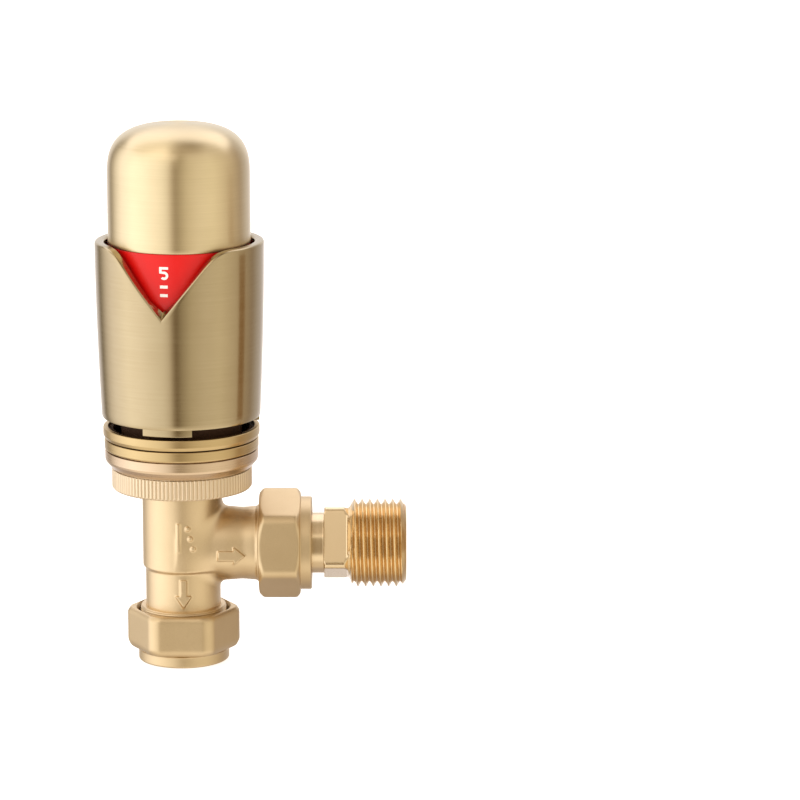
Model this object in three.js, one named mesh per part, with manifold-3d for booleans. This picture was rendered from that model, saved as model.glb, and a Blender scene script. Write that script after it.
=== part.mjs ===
// Thermostatic radiator valve, angle pattern: a compression inlet below, a
// union and G1/2 tailpiece to the radiator on +X, and a sensor head on top.
// Millimetres, +Z up. The origin is the centre of the compression nut's bottom
// face, on the axis of the pipe, the valve stem and the head.
import * as THREE from 'three';
import { mergeVertices } from 'three/addons/utils/BufferGeometryUtils.js';
import Module from 'manifold-3d';

const wasm = await Module();
wasm.setup();

// Driving dimensions.
const FIT = 0.3; // clearance between neighbouring pieces
const PIPE_R = 7.65; // socket for a 15 mm pipe
const WATERWAY_R = 5.2;
const BRANCH_Z = 28; // axis of the radiator branch
const BRANCH_R = 8.8;
const BRANCH_END = 25.6;
const BORE_R = 5; // branch bore
const NECK_R = 8.85; // body below the branch
const WAIST_R = 9.45; // body above the branch
const WAIST_Z = 22.9;
const COLLAR_R = 14.7; // M30 x 1.5 thread for the head
const COLLAR_Z = 42.6;
const COLLAR_TOP = 47.5;
const CHAMBER_R = 7.2;
const SEAT_Z = 22.6;
const STROKE = 2.4; // travel of the valve pin, and of the sensor
const NUT_FLATS = 24;
const NUT_TOP = 12.6;
const NUT_COLLAR_R = 10.8;
const NUT_COLLAR_H = 3.5;
const UNION_FLATS = 23.4;
const UNION_START = 18.2;
const UNION_HEX_END = 27.9;
const UNION_END = 30.6;
const UNION_COLLAR_R = 11;
const UNION_TILT = 8.8; // degrees that the union's flat leans back
const TAIL_NECK_R = 7.2;
const TAIL_FLATS = 14.7;
const TAIL_TILT = 24.5; // degrees that the tail's flat leans back
const TAIL_FLATS_START = 33.6;
const TAIL_FLATS_END = 38.4;
const THREAD_START = 39.3;
const THREAD_END = 52.4;
const TAIL_END = 53;
const THREAD_R = 10.45; // G1/2 crest
const THREAD_DEPTH = 1.15;
const THREAD_PITCH = 1.814;
const RING_R = 16.5; // knurled ring nut
const RING_BOTTOM = 41.9;
const RING_TOP = 46.7;
const RING_RIBS = 72;
const BASE_R = 18.05;
const BASE_TOP = 51.2;
const SPIGOT_R = 17; // head base above the cone, inside the limit rings
const SPIGOT_TOP = 56.4;
const SLEEVE_BOTTOM = 59.1;
const SLEEVE_RIM = 100.9;
const TAB_BOTTOM = 57.5;
const TAB_ANGLE = 36.7;
const VEE_ANGLE = -99.6; // direction of the notch, degrees from +X
const VEE_HALF = 53;
const VEE_DEPTH = 15.5;
const SKIRT_R = 16.45;
const CAP_R = 16.66;
const CAP_BOTTOM = 100.1;
const CAP_TOP = 128.2;
const CAP_SHOULDER = 8.6;
const CAP_WALL = 1.5;
const PIN_R = 1.5;
const CAPSULE_R = 10.9;
const CAPSULE_BOTTOM = 66;
const CAPSULE_TOP = 95;

// Sides given to round pieces of large, middling and small radius.
const LARGE = 32;
const MIDDLE = 24;
const SMALL = 14;

const finishes = {
  satin: [0xd9b98a, 0.42, 0.9],
  matte: [0xe3c596, 0.6, 0.8],
  brushed: [0xd8b97e, 0.32, 0.95],
  olive_gold: [0xb59a66, 0.24, 0.95],
  thread: [0xc29a55, 0.3, 0.95],
  brass: [0xb08d4c, 0.4, 0.9],
  steel: [0xb9bcc0, 0.3, 0.95],
  rubber: [0x1c1b1a, 0.85, 0],
  red: [0xd81c18, 0.4, 0],
  white: [0xf2f0ea, 0.5, 0],
  plastic: [0x2b2a29, 0.55, 0],
  pale_plastic: [0xd9d5c8, 0.5, 0],
};

function material(name) {
  const [color, roughness, metalness] = finishes[name];
  return new THREE.MeshStandardMaterial({ color, roughness, metalness });
}

function piece(name, geometry, finish) {
  const mesh = new THREE.Mesh(geometry, material(finish));
  mesh.name = name;
  return mesh;
}

function signedArea(points) {
  return points.reduce((sum, [r, z], i) => {
    const [nextR, nextZ] = points[(i + 1) % points.length];
    return sum + (r * nextZ - nextR * z) / 2;
  }, 0);
}

// A solid of revolution about Z. An outline of [radius, height] points either
// starts and ends on the axis, or is closed on itself here.
function turned(points, segments = MIDDLE) {
  const outline = signedArea(points) < 0 ? [...points].reverse() : [...points];
  const axial = outline[0][0] === 0 && outline.at(-1)[0] === 0;
  if (!axial) outline.push(outline[0]);
  const profile = outline.map(([r, z]) => new THREE.Vector2(r, z));
  return new THREE.LatheGeometry(profile, segments).rotateX(Math.PI / 2);
}

function tube(inner, outer, bottom, top, segments) {
  return turned([[inner, bottom], [outer, bottom], [outer, top], [inner, top]], segments);
}

function rod(radius, bottom, top, segments = SMALL) {
  return turned([[0, bottom], [radius, bottom], [radius, top], [0, top]], segments);
}

// Points on a circular arc in the radius-height plane, angles in degrees.
function arc(centreR, centreZ, radius, from, to, steps) {
  return Array.from({ length: steps + 1 }, (_, i) => {
    const angle = THREE.MathUtils.degToRad(from + ((to - from) * i) / steps);
    return [centreR + radius * Math.cos(angle), centreZ + radius * Math.sin(angle)];
  });
}

function torus(radius, wire, height, segments = SMALL) {
  return new THREE.TorusGeometry(radius, wire, 6, segments).translate(0, 0, height);
}

// Lays a piece made about Z along the branch axis, its height becoming X.
function alongBranch(geometry) {
  return geometry.rotateY(Math.PI / 2).translate(0, 0, BRANCH_Z);
}

function solid(geometry) {
  const bare = geometry.clone();
  bare.deleteAttribute('normal');
  bare.deleteAttribute('uv');
  const merged = mergeVertices(bare, 1e-4);
  const corners = merged.index.array;
  const kept = [];
  for (let i = 0; i < corners.length; i += 3) {
    const [a, b, c] = corners.slice(i, i + 3);
    if (a !== b && b !== c && c !== a) kept.push(a, b, c);
  }
  return new wasm.Manifold(new wasm.Mesh({
    numProp: 3,
    vertProperties: Float32Array.from(merged.attributes.position.array),
    triVerts: Uint32Array.from(kept),
  }));
}

function geometryOf(manifold) {
  const { vertProperties, triVerts } = manifold.getMesh();
  const geometry = new THREE.BufferGeometry();
  geometry.setAttribute('position', new THREE.BufferAttribute(vertProperties, 3));
  geometry.setIndex(new THREE.BufferAttribute(triVerts, 1));
  geometry.computeVertexNormals();
  return geometry;
}

function joined(...geometries) {
  return geometryOf(geometries.map(solid).reduce((whole, next) => whole.add(next)));
}

function cut(blank, ...tools) {
  return geometryOf(tools.map(solid).reduce((left, tool) => left.subtract(tool), solid(blank)));
}

function common(first, second) {
  return geometryOf(solid(first).intersect(solid(second)));
}

function extruded(shape, depth, curveSegments = 6) {
  return new THREE.ExtrudeGeometry(shape, { depth, bevelEnabled: false, curveSegments });
}

// A regular polygon with its first flat facing +X and its corners rounded.
function polygonShape(sides, flats, rounding) {
  const shape = new THREE.Shape();
  const step = (2 * Math.PI) / sides;
  const centre = (flats / 2 - rounding) / Math.cos(step / 2);
  for (let i = 0; i < sides; i += 1) {
    const corner = step * (i + 0.5);
    shape.absarc(
      centre * Math.cos(corner), centre * Math.sin(corner),
      rounding, corner - step / 2, corner + step / 2, false,
    );
  }
  return shape;
}

// A hexagon blank between two heights, with its corners turned back at both
// ends, and a round collar on either end if one is given.
function hexBlank(flats, bottom, top, collars = []) {
  const extent = flats * 0.56;
  const face = flats / 2 - 0.7;
  const slope = 2.1;
  const bar = extruded(polygonShape(6, flats, 2.6), top - bottom, 3).translate(0, 0, bottom);
  const turning = turned([
    [0, bottom], [face, bottom], [extent, bottom + slope],
    [extent, top - slope], [face, top], [0, top],
  ]);
  return joined(common(bar, turning), ...collars);
}

function compressionNut() {
  const blank = hexBlank(NUT_FLATS, NUT_COLLAR_H, NUT_TOP, [
    rod(NUT_COLLAR_R, 0, NUT_COLLAR_H + 1, MIDDLE),
  ]);
  const bore = turned([
    [0, -1], [PIPE_R, -1], [PIPE_R, 2.4], [9.2, 4.4], [10.5, 4.9],
    [10.5, NUT_TOP - 0.6], [11.1, NUT_TOP], [11.1, NUT_TOP + 1], [0, NUT_TOP + 1],
  ]);
  return cut(blank, bore).rotateZ(Math.PI / 6);
}

function olive() {
  return turned([
    [7.6, 3.1], [7.95, 3.1], [8.5, 4.8], [8.5, 6.2], [7.95, 8.4], [7.6, 8.4],
  ]);
}

// A flow arrow, its tail at the origin and its point along +X.
function arrowShape(length, width) {
  const headStart = length * 0.5;
  const shaft = width * 0.22;
  return new THREE.Shape([
    [0, -shaft], [headStart, -shaft], [headStart, -width / 2], [length, 0],
    [headStart, width / 2], [headStart, shaft], [0, shaft],
  ].map(([x, y]) => new THREE.Vector2(x, y)));
}

// Web that fills the corners between the body and the branch.
function branchWeb() {
  const fillet = 4;
  const halfWidth = 3.2;
  const low = BRANCH_Z - BRANCH_R;
  const high = BRANCH_Z + BRANCH_R;
  const shape = new THREE.Shape();
  shape.moveTo(5, low - fillet);
  shape.lineTo(NECK_R, low - fillet);
  shape.absarc(NECK_R + fillet, low - fillet, fillet, Math.PI, Math.PI / 2, true);
  shape.lineTo(WAIST_R + fillet, high);
  shape.absarc(WAIST_R + fillet, high + fillet, fillet, Math.PI * 1.5, Math.PI, true);
  shape.lineTo(5, high + fillet);
  const slab = extruded(shape, 2 * halfWidth, 5);
  return slab.translate(0, 0, -halfWidth).rotateX(Math.PI / 2);
}

function valveBody() {
  const upright = turned([
    [0, 6], [9.9, 6], [10.2, 6.3], [10.2, 12], [NECK_R, 12.9], [NECK_R, WAIST_Z - 0.4],
    [WAIST_R, WAIST_Z + 0.2], [WAIST_R, COLLAR_Z - 0.3], [12, COLLAR_Z],
    [COLLAR_R - 0.3, COLLAR_Z], [COLLAR_R, COLLAR_Z + 0.3],
    [COLLAR_R, COLLAR_TOP - 0.3], [COLLAR_R - 0.3, COLLAR_TOP], [0, COLLAR_TOP],
  ], LARGE);
  const branch = alongBranch(turned([
    [0, 0], [BRANCH_R, 0], [BRANCH_R, UNION_START - 0.2], [10.1, UNION_START + 0.6],
    [10.1, BRANCH_END - 0.3], [9.8, BRANCH_END], [0, BRANCH_END],
  ]));
  const raised = 0.45;
  const sideArrow = extruded(arrowShape(6.4, 3.6), 3)
    .rotateX(Math.PI / 2).translate(8, -BRANCH_R - raised + 3, BRANCH_Z);
  const downArrow = extruded(arrowShape(7, 4.1), 3)
    .rotateZ(-Math.PI / 2).rotateX(Math.PI / 2).translate(0, -NECK_R - raised + 3, 21.3);
  const bar = new THREE.BoxGeometry(1.2, 3, 8)
    .translate(-1.4, -WAIST_R - raised + 1.5, 31.4);
  const mainBore = turned([
    [0, 5], [9.96, 5], [PIPE_R, 10], [PIPE_R, 18.5], [WATERWAY_R, 18.5],
    [WATERWAY_R, SEAT_Z], [WATERWAY_R + 1, SEAT_Z], [WATERWAY_R + 1, SEAT_Z - 0.8],
    [CHAMBER_R, SEAT_Z - 0.8], [CHAMBER_R, 50], [0, 50],
  ], 24);
  const sideBore = alongBranch(rod(BORE_R, 3, 30));
  const outside = joined(upright, branch, branchWeb(), sideArrow, downArrow, bar);
  return cut(outside, mainBore, sideBore);
}

function unionNut() {
  const blank = hexBlank(UNION_FLATS, UNION_START, UNION_HEX_END, [
    rod(UNION_COLLAR_R, UNION_HEX_END - 1, UNION_END, MIDDLE),
  ]);
  const bore = turned([
    [0, 17], [10.9, 17], [10.9, UNION_START], [10.4, UNION_START + 0.6], [10.4, 28.3],
    [TAIL_NECK_R + FIT, 28.3], [TAIL_NECK_R + FIT, 32], [0, 32],
  ]);
  const tilt = THREE.MathUtils.degToRad(UNION_TILT);
  return alongBranch(cut(blank, bore).rotateZ(Math.PI / 2 - tilt));
}

// The crests and roots of a thread as plain rings: [radius, height] points.
function threadPoints(start, end, crest, depth, pitch) {
  const turns = Math.floor((end - start) / pitch);
  const points = [];
  for (let i = 0; i < turns; i += 1) {
    const base = start + pitch * i;
    points.push([crest - depth, base], [crest, base + pitch / 2]);
  }
  points.push([crest - depth, start + pitch * turns]);
  return points;
}

function tailpiece() {
  const turning = turned([
    [0, 27], [10.1, 27], [10.1, 28], [TAIL_NECK_R, 28], [TAIL_NECK_R, TAIL_FLATS_START - 0.3],
    [9.5, TAIL_FLATS_START], [9.85, TAIL_FLATS_START + 0.4], [9.85, TAIL_FLATS_END],
    [8.9, THREAD_START - 0.1],
    ...threadPoints(THREAD_START, THREAD_END, THREAD_R, THREAD_DEPTH, THREAD_PITCH),
    [THREAD_R - THREAD_DEPTH - 0.3, TAIL_END], [0, TAIL_END],
  ]);
  const tilt = THREE.MathUtils.degToRad(TAIL_TILT);
  const wide = 40;
  const flats = extruded(polygonShape(4, TAIL_FLATS, 0.6), TAIL_FLATS_END - TAIL_FLATS_START + 0.6);
  const blank = new THREE.BoxGeometry(wide, wide, TAIL_FLATS_END - TAIL_FLATS_START)
    .translate(0, 0, (TAIL_FLATS_START + TAIL_FLATS_END) / 2);
  const waste = cut(blank, flats.translate(0, 0, TAIL_FLATS_START - 0.3));
  const bore = rod(6, 26, TAIL_END + 1, 24);
  return alongBranch(cut(turning, waste, bore).rotateZ(-tilt));
}

function valveInsert() {
  const shank = turned([
    [0, 34.5], [6.9, 34.5], [6.9, 39.4], [5.9, 39.4], [5.9, 40.6], [6.9, 40.6],
    [6.9, COLLAR_TOP + FIT], [8.2, COLLAR_TOP + FIT], [8.2, 48.8], [0, 48.8],
  ], 24);
  const head = extruded(polygonShape(6, 14, 0.3), 3.6, 2).translate(0, 0, 48.4);
  const bore = turned([
    [0, 34], [4.8, 34], [4.8, 44], [1.9, 44], [1.9, 47.8], [3.4, 47.8], [3.4, 53], [0, 53],
  ], SMALL);
  return cut(joined(shank, head), bore);
}

function glandNut() {
  const screw = rod(3.1, 50.2, 53);
  const head = extruded(polygonShape(6, 8, 0.2), 1.8, 2).translate(0, 0, 52.6);
  return cut(joined(screw, head), rod(1.85, 50, 55, 14));
}

// A coil spring about Z whose end turns lie flat.
class CoilCurve extends THREE.Curve {
  constructor(radius, bottom, top, turns) {
    super();
    Object.assign(this, { radius, bottom, top, turns });
  }

  getPoint(t, target = new THREE.Vector3()) {
    const angle = 2 * Math.PI * this.turns * t;
    const rise = THREE.MathUtils.smoothstep(t, 0, 1) * 0.35 + t * 0.65;
    const height = this.bottom + (this.top - this.bottom) * rise;
    return target.set(this.radius * Math.cos(angle), this.radius * Math.sin(angle), height);
  }
}

// Six-sided wire along a curve.
function wireAlong(curve, wire, steps) {
  const section = new THREE.Shape(Array.from({ length: 6 }, (_, i) => new THREE.Vector2(
    wire * Math.cos((i * Math.PI) / 3), wire * Math.sin((i * Math.PI) / 3),
  )));
  return new THREE.ExtrudeGeometry(section, { extrudePath: curve, steps, bevelEnabled: false });
}

function coilSpring(radius, wire, bottom, top, turns) {
  const curve = new CoilCurve(radius, bottom + wire, top - wire, turns);
  return wireAlong(curve, wire, turns * 9);
}

// An open retaining ring about Z with a gap on +X.
function openRing(radius, wire, height, gap) {
  const half = THREE.MathUtils.degToRad(gap / 2);
  const ring = new THREE.EllipseCurve(0, 0, radius, radius, half, 2 * Math.PI - half, false);
  const points = ring.getPoints(24).map((p) => new THREE.Vector3(p.x, p.y, height));
  return wireAlong(new THREE.CatmullRomCurve3(points), wire, 24);
}

function pinClip() {
  const disc = tube(PIN_R + FIT, 4, 42.3, 43.1, SMALL);
  const slot = new THREE.BoxGeometry(6, 2 * PIN_R, 2).translate(3, 0, 42.7);
  return cut(disc, slot);
}

function discHolder() {
  return turned([
    [0, 28.2], [6.3, 28.2], [6.3, 29.6], [3, 29.6], [3, 32.8],
    [PIN_R + FIT, 32.8], [PIN_R + FIT, 29.2], [0, 29.2],
  ], SMALL);
}

function ringNut() {
  const outline = new THREE.Shape();
  for (let i = 0; i < RING_RIBS; i += 1) {
    const angle = (2 * Math.PI * i) / RING_RIBS;
    const half = Math.PI / RING_RIBS;
    const root = RING_R - 0.35;
    const draw = i === 0 ? 'moveTo' : 'lineTo';
    outline[draw](RING_R * Math.cos(angle), RING_R * Math.sin(angle));
    outline.lineTo(root * Math.cos(angle + half), root * Math.sin(angle + half));
  }
  const ribs = extruded(outline, RING_TOP - RING_BOTTOM - 0.4).translate(0, 0, RING_BOTTOM + 0.2);
  const neck = turned([
    [0, RING_BOTTOM], [RING_R - 0.6, RING_BOTTOM], [RING_R - 0.4, RING_BOTTOM + 0.2],
    [RING_R - 0.4, RING_TOP - 0.2], [RING_R - 0.6, RING_TOP], [15.9, RING_TOP],
    [15.9, 48.1], [15.45, 48.1], [15.45, 49.1], [15.9, 49.1], [15.9, 50.2], [0, 50.2],
  ], LARGE);
  return cut(joined(ribs, neck), rod(COLLAR_R + 0.4, 41, 51, LARGE));
}

function headBase() {
  return turned([
    [9, 47.9], [14.7, 47.9], [14.7, 50.6], [16.2, 50.6], [16.2, 49.3], [16.55, 49.3],
    [16.55, 47.9], [16.2, 47.5], [16.2, 47], [16.6, 47], [17.9, 48.5], [BASE_R, 49.3],
    [BASE_R, BASE_TOP - 0.2], [BASE_R - 0.2, BASE_TOP], [SPIGOT_R, BASE_TOP],
    [SPIGOT_R, SPIGOT_TOP], [15.6, SPIGOT_TOP], [15.6, 52.5], [9, 52.5],
  ], LARGE);
}

function lowerLimitRing() {
  return turned([
    [SPIGOT_R + FIT, 51.5], [17.9, 51.5], [18.15, 51.75], [18.15, 53.6],
    [17.9, 53.85], [SPIGOT_R + FIT, 53.85],
  ], LARGE);
}

function upperLimitRing() {
  return turned([
    [SPIGOT_R + FIT, 54.15], [18, 54.15], [18.4, 54.65], [18.4, 56.5],
    [18.15, 56.76], [SPIGOT_R + FIT, 56.76],
  ], LARGE);
}

function innerCage() {
  const frame = turned([
    [13, 52.8], [15.3, 52.8], [15.3, 54], [14.2, 54], [14.2, 63], [16, 63], [16, 65],
    [14.2, 65], [14.2, 94.5], [13, 94.5], [13, 62], [2.6, 62], [2.6, 60], [13, 60],
  ]);
  const windows = [0, 1, 2, 3].map((i) => new THREE.BoxGeometry(8, 9, 20)
    .translate(13.5, 0, 78).rotateZ((i * Math.PI) / 2 + 0.6));
  return cut(frame, ...windows);
}

// Height of the sleeve's outer top edge at an angle from the notch's middle.
function sleeveTop(degrees) {
  const closeness = Math.max(0, 1 - Math.abs(degrees) / VEE_HALF);
  return SLEEVE_RIM - VEE_DEPTH * closeness ** 1.6;
}

function sleeveOuter(z) {
  const t = THREE.MathUtils.clamp((SLEEVE_RIM - z) / (SLEEVE_RIM - SLEEVE_BOTTOM), 0, 1);
  return 19.8 - 1.15 * t ** 1.7;
}

function sleeveInner(z) {
  const t = THREE.MathUtils.clamp((SLEEVE_RIM - z) / (SLEEVE_RIM - SLEEVE_BOTTOM), 0, 1);
  return 17.5 - 1.1 * t ** 1.5;
}

// The section of the sleeve at an angle, as [radius, height] points from the
// inside of the bottom edge round the outside and back down.
function sleeveSection(degrees) {
  const nearestTab = Math.abs(THREE.MathUtils.euclideanModulo(degrees + 60, 120) - 60);
  const onTab = nearestTab < TAB_ANGLE / 2;
  const bottom = onTab ? TAB_BOTTOM : SLEEVE_BOTTOM;
  const top = sleeveTop(degrees);
  const lean = 2.2 * Math.max(0, 1 - Math.abs(degrees) / 16);
  const rows = [0, 0.35, 0.7, 1];
  const edge = 0.6;
  const low = SLEEVE_BOTTOM + 0.6;
  const outside = rows.map((t) => {
    const z = low + (top - edge - low) * t;
    return [sleeveOuter(z), z];
  });
  const inside = [...rows].reverse().map((t) => {
    const z = low + (top + lean - edge - low) * t;
    return [sleeveInner(z), z];
  });
  return [
    [16.5, bottom], [sleeveOuter(low) - 0.5, bottom], ...outside,
    [sleeveOuter(top) - edge, top], [sleeveInner(top) + edge, top + lean], ...inside,
  ];
}

// A closed ring whose section changes with the angle round Z.
function lofted(sectionAt, angles) {
  const sections = angles.map(sectionAt);
  const count = sections[0].length;
  const positions = [];
  sections.forEach((section, i) => {
    const angle = THREE.MathUtils.degToRad(angles[i] + VEE_ANGLE);
    section.forEach(([r, z]) => positions.push(r * Math.cos(angle), r * Math.sin(angle), z));
  });
  const indices = [];
  for (let i = 0; i < angles.length; i += 1) {
    const next = (i + 1) % angles.length;
    for (let j = 0; j < count; j += 1) {
      const k = (j + 1) % count;
      const corners = [i * count + j, next * count + j, next * count + k, i * count + k];
      indices.push(corners[0], corners[1], corners[2], corners[0], corners[2], corners[3]);
    }
  }
  const geometry = new THREE.BufferGeometry();
  geometry.setAttribute('position', new THREE.Float32BufferAttribute(positions, 3));
  geometry.setIndex(indices);
  geometry.computeVertexNormals();
  return geometry;
}

function sleeve() {
  const angles = new Set();
  for (let a = -180; a < 180; a += 9) angles.add(a);
  for (const near of [4, 13.5, 22.5, 31.5]) {
    angles.add(near);
    angles.add(-near);
  }
  for (const tab of [-120, 0, 120]) {
    for (const side of [-1, 1]) {
      angles.add(tab + side * (TAB_ANGLE / 2 - 0.1));
      angles.add(tab + side * (TAB_ANGLE / 2 + 0.1));
    }
  }
  return lofted(sleeveSection, [...angles].sort((a, b) => a - b));
}

function indicatorSkirt() {
  return turned([
    [15.4, 84], [SKIRT_R, 84], [SKIRT_R, CAP_BOTTOM - FIT], [14.8, CAP_BOTTOM - FIT],
    [14.8, 104], [13.9, 104], [13.9, 98], [15.4, 98],
  ], LARGE);
}

function settingMark() {
  const plate = new THREE.BoxGeometry(0.2, 2.6, 8.4).translate(SKIRT_R + FIT + 0.1, 0, 94);
  return plate.rotateZ(THREE.MathUtils.degToRad(VEE_ANGLE));
}

function handwheelCap() {
  const shoulderR = 16.5;
  const crown = 0.7;
  const outerArc = arc(shoulderR - CAP_SHOULDER, CAP_TOP - crown - CAP_SHOULDER, CAP_SHOULDER, 0, 84, 6);
  const innerArc = arc(
    shoulderR - CAP_SHOULDER, CAP_TOP - crown - CAP_SHOULDER, CAP_SHOULDER - CAP_WALL, 84, 0, 4,
  );
  return turned([
    [CAP_R - CAP_WALL, CAP_BOTTOM], [CAP_R - 0.2, CAP_BOTTOM], [CAP_R, CAP_BOTTOM + 0.2],
    ...outerArc, [0, CAP_TOP], [0, CAP_TOP - CAP_WALL], ...innerArc,
  ], LARGE);
}

function handwheelLiner() {
  return turned([
    [13, 104.6], [14.7, 104.6], [14.7, 119.4], [2, 119.4], [2, 117.8], [13, 117.8],
  ]);
}

function sensorCarrier() {
  return turned([
    [CAPSULE_R + 0.5, 74], [12.5, 74], [12.5, 117.2], [11.6, 117.2], [11.6, 114.2],
    [CAPSULE_R + 0.5, 114.2],
  ]);
}

function sensorCapsule() {
  return turned([
    [9.6, CAPSULE_BOTTOM], [CAPSULE_R, CAPSULE_BOTTOM], [CAPSULE_R, CAPSULE_TOP - 1],
    [CAPSULE_R - 1, CAPSULE_TOP], [0, CAPSULE_TOP], [0, 93.4], [9.2, 93.4], [9.6, 93],
  ]);
}

// Thin folded wall, closed at the top and open at the bottom.
function bellows() {
  const wall = 0.4;
  const folds = 4;
  const bottom = 67;
  const top = 90;
  const outside = [];
  const inside = [];
  for (let i = 0; i <= 2 * folds; i += 1) {
    const z = bottom + 0.8 + ((top - 1.6 - bottom) * i) / (2 * folds);
    const r = i % 2 === 0 ? 7.8 : 9.1;
    outside.push([r, z]);
    inside.unshift([r - wall, z]);
  }
  return turned([
    [7.4, bottom - 0.6], [9.2, bottom - 0.6], [9.2, bottom], ...outside,
    [7.8, top], [0, top], [0, top - wall], [7.4, top - wall], ...inside,
  ], SMALL);
}

function pushRod() {
  return turned([
    [0, 57.3], [4, 57.3], [4, 58.6], [2.2, 59.2], [2.2, 83.6],
    [6, 84.2], [6, 86.2], [5.4, 86.8], [0, 86.8],
  ], SMALL);
}

const assembly = new THREE.Group();
assembly.add(
  piece('valve_body', valveBody(), 'matte'),
  piece('compression_nut', compressionNut(), 'satin'),
  piece('olive', olive(), 'brass'),
  piece('union_nut', unionNut(), 'satin'),
  piece('tailpiece', tailpiece(), 'thread'),
  piece('tail_seal', alongBranch(tube(6.2, 9.4, 25.9, 26.7)), 'rubber'),
  piece('valve_insert', valveInsert(), 'brass'),
  piece('insert_o_ring', torus(6.5, 0.45, 40), 'rubber'),
  piece('guide_bush', tube(1.9, 4.5, 34.5, 36, SMALL), 'pale_plastic'),
  piece('gland_nut', glandNut(), 'brass'),
  piece('gland_o_ring', torus(2.45, 0.6, 49, 14), 'rubber'),
  piece('valve_pin', rod(PIN_R, 29.5, 57), 'steel'),
  piece('return_spring', coilSpring(3.3, 0.4, 36.3, 42, 4), 'steel'),
  piece('pin_clip', pinClip(), 'steel'),
  piece('disc_holder', discHolder(), 'brass'),
  piece('disc_washer', rod(6.1, SEAT_Z + STROKE + FIT, 27.9), 'rubber'),
  piece('ring_nut', ringNut(), 'matte'),
  piece('ring_nut_clip', openRing(15.95, 0.3, 48.6, 36), 'steel'),
  piece('head_base', headBase(), 'matte'),
  piece('lower_limit_ring', lowerLimitRing(), 'brushed'),
  piece('upper_limit_ring', upperLimitRing(), 'brushed'),
  piece('inner_cage', innerCage(), 'plastic'),
  piece('sleeve', sleeve(), 'olive_gold'),
  piece('indicator_skirt', indicatorSkirt(), 'red'),
  piece('setting_mark', settingMark(), 'white'),
  piece('handwheel_cap', handwheelCap(), 'brushed'),
  piece('handwheel_liner', handwheelLiner(), 'plastic'),
  piece('sensor_carrier', sensorCarrier(), 'pale_plastic'),
  piece('sensor_capsule', sensorCapsule(), 'steel'),
  piece('bellows', bellows(), 'brass'),
  piece('push_rod', pushRod(), 'pale_plastic'),
  piece('spring_washer', tube(3, 10.4, 95.3, 96.6, SMALL), 'steel'),
  piece('overtravel_spring', coilSpring(8.6, 0.8, 96.9, 114.3, 5), 'steel'),
  piece('spring_plug', turned([
    [3, 114.6], [11.2, 114.6], [11.2, 116.8], [3, 116.8],
  ], SMALL), 'pale_plastic'),
);

export default assembly;
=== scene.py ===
"""Looks of the thermostatic radiator valve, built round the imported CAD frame.

Lengths in the shape functions are millimetres in the row frame: the valve axis is Z, the
radiator branch runs along X, and MM turns them into Blender's metres.
"""
import math

import bmesh
import bpy
import numpy as np
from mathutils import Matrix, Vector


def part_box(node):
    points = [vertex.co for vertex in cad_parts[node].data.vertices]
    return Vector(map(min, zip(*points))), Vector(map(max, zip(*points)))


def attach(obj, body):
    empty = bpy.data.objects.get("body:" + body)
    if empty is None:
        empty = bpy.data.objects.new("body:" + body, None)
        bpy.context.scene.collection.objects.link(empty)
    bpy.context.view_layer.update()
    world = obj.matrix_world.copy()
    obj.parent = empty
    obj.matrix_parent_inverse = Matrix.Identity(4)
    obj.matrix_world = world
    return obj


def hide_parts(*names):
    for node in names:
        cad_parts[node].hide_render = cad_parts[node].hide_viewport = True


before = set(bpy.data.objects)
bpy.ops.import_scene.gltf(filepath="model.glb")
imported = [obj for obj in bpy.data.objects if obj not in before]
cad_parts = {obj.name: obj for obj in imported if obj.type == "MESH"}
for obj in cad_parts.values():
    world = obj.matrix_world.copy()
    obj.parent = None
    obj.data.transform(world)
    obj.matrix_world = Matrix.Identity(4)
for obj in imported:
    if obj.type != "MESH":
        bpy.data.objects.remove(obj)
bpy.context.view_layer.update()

MM = 0.001
TAU = 2 * math.pi


def box_mm(node):
    """Lowest and highest corner of a CAD node, in millimetres."""
    low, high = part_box(node)
    return np.array(low) / MM, np.array(high) / MM


# ---------------------------------------------------------------- driving sizes
BODY_LOW, BODY_HIGH = box_mm("valve_body")
NUT_LOW, NUT_HIGH = box_mm("compression_nut")
UNION_LOW, UNION_HIGH = box_mm("union_nut")
TAIL_LOW, TAIL_HIGH = box_mm("tailpiece")
RING_LOW, RING_HIGH = box_mm("ring_nut")
BASE_LOW, BASE_HIGH = box_mm("head_base")
LOWER_LOW, LOWER_HIGH = box_mm("lower_limit_ring")
UPPER_LOW, UPPER_HIGH = box_mm("upper_limit_ring")
SLEEVE_LOW, SLEEVE_HIGH = box_mm("sleeve")
SKIRT_LOW, SKIRT_HIGH = box_mm("indicator_skirt")
CAP_LOW, CAP_HIGH = box_mm("handwheel_cap")
CAGE_LOW, CAGE_HIGH = box_mm("inner_cage")

# body casting
BRANCH_Z = round((UNION_LOW[2] + UNION_HIGH[2]) / 2, 1)
BRANCH_R = 8.8
BRANCH_HALF = 9.2  # half of the branch's length from the valve axis
UPRIGHT_MIDDLE = 27.6
UPRIGHT_HALF = 15.2
NECK_R = 8.85  # the upright below its step
WAIST_R = 9.45  # and above it
WAIST_Z = 22.9  # height of the step
BORE_R = 5.0  # waterway along the branch
SOCKET_R = 7.65  # room for the pipe
SOCKET_TOP = 18.5
PORT_R = 5.2  # hole that the disc shuts
SEAT_Z = 22.6
INSERT_R = 7.2  # bore above the port
INLET_TOP = 13.2  # top of the thread under the compression nut

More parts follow.
